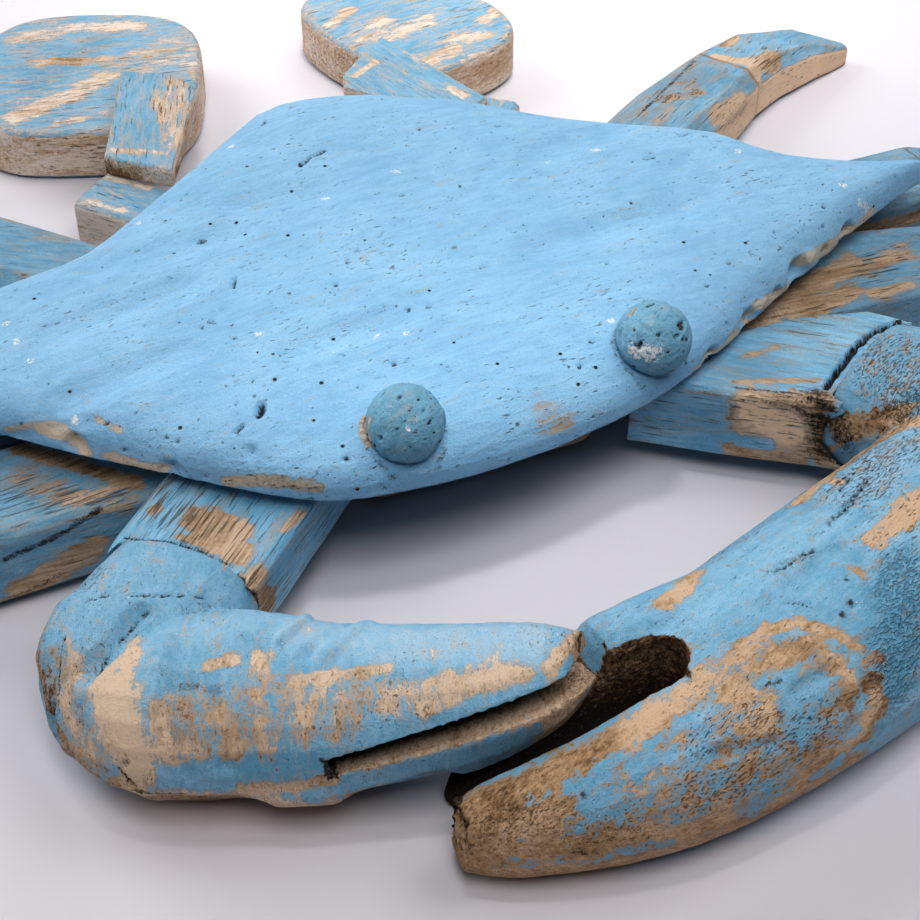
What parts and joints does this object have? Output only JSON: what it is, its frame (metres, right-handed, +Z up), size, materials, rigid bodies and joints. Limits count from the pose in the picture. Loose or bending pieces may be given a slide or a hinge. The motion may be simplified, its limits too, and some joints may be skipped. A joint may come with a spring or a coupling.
{
  "type": "carved wooden crab",
  "caption": "Flat wooden crab decoration with a domed shell board, knob eyes, thick claws folded in front, cranked plank legs and round back paddles.",
  "frame": {"origin": "middle of the crab's outline in plan, on the floor it stands on", "axes": "+Z up, -Y the way the crab faces, +X towards the crab's own left side"},
  "size_m": [0.3326, 0.2952, 0.0425],
  "materials": {
    "shell_paint": "worn matt light blue paint on wood, pitted, bare at its edges",
    "limb_paint": "rubbed-back matt blue paint on open-grained wood, bare tan patches",
    "bare_wood": "unpainted rough wood"
  },
  "bodies": {
    "root": {"shell": "shell_paint", "eye_left": "shell_paint", "eye_right": "shell_paint", "body": "bare_wood", "arm_left": "limb_paint", "arm_right": "limb_paint", "claw_left": "limb_paint", "claw_right": "limb_paint", "leg_left_1_upper": "limb_paint", "leg_left_1_tip": "limb_paint", "leg_left_2_upper": "limb_paint", "leg_left_2_tip": "limb_paint", "leg_left_3_upper": "limb_paint", "leg_left_3_tip": "limb_paint", "leg_right_1_upper": "limb_paint", "leg_right_1_tip": "limb_paint", "leg_right_2_upper": "limb_paint", "leg_right_2_tip": "limb_paint", "leg_right_3_upper": "limb_paint", "leg_right_3_tip": "limb_paint", "paddle_root_left": "limb_paint", "paddle_root_right": "limb_paint", "paddle_stem_left": "limb_paint", "paddle_stem_right": "limb_paint", "paddle_left": "limb_paint", "paddle_right": "limb_paint"}
  },
  "joints": []
}
